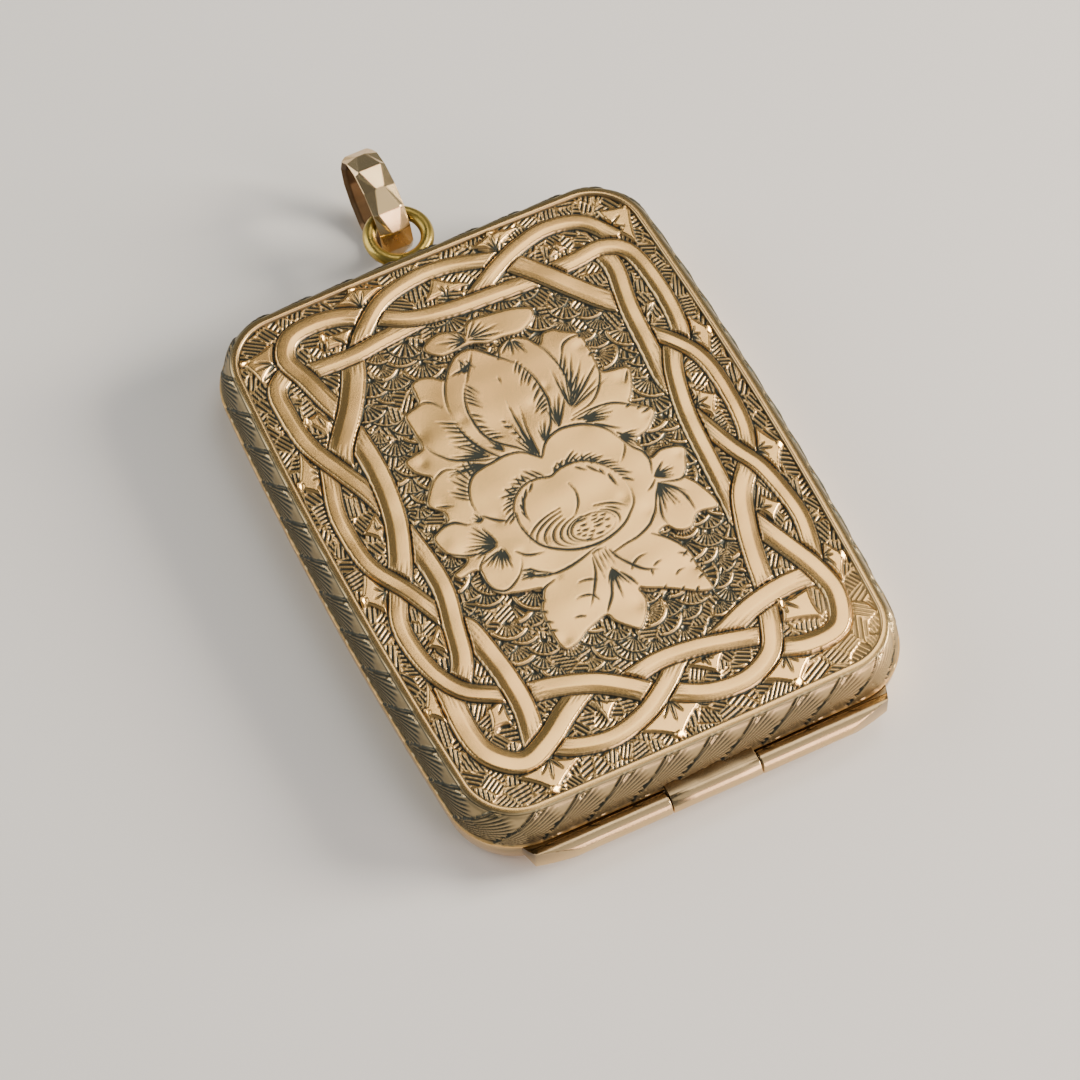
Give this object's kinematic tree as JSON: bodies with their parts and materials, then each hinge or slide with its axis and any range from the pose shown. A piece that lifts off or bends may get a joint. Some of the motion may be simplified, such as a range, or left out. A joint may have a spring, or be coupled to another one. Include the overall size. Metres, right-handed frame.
{
  "type": "engraved locket",
  "caption": "Rectangular engraved locket with convex walls, a hinged front cover, a soldered wire loop and a faceted oval bail, lying closed and face up.",
  "frame": {"origin": "on the surface the locket lies on, under the middle of its body", "axes": "+Z out of the engraved face, +Y along the body towards the bail, +X to the right when looking at the face"},
  "size_m": [0.0264, 0.043, 0.0049],
  "materials": {
    "rose_gold": "antique rose gold, hand engraved, polished high spots with dark tarnish in the cuts",
    "polished_gold": "plain polished rose gold with fine wear scratches"
  },
  "bodies": {
    "back": {"back_cover": "polished_gold", "hinge_pin": "polished_gold"},
    "front": {"front_cover": "rose_gold"},
    "bail": {"bail": "polished_gold"}
  },
  "joints": [
    {"name": "cover_hinge", "type": "hinge", "parent": "back", "child": "front", "pos_m": [0.00015, -0.0179, 0.0017], "axis": [1, 0, 0], "range_deg": [0, 150]},
    {"name": "bail_swing", "type": "hinge", "parent": "front", "child": "bail", "pos_m": [0, 0.02053, 0.00295], "axis": [1, 0, 0], "range_deg": [-30, 110]}
  ]
}
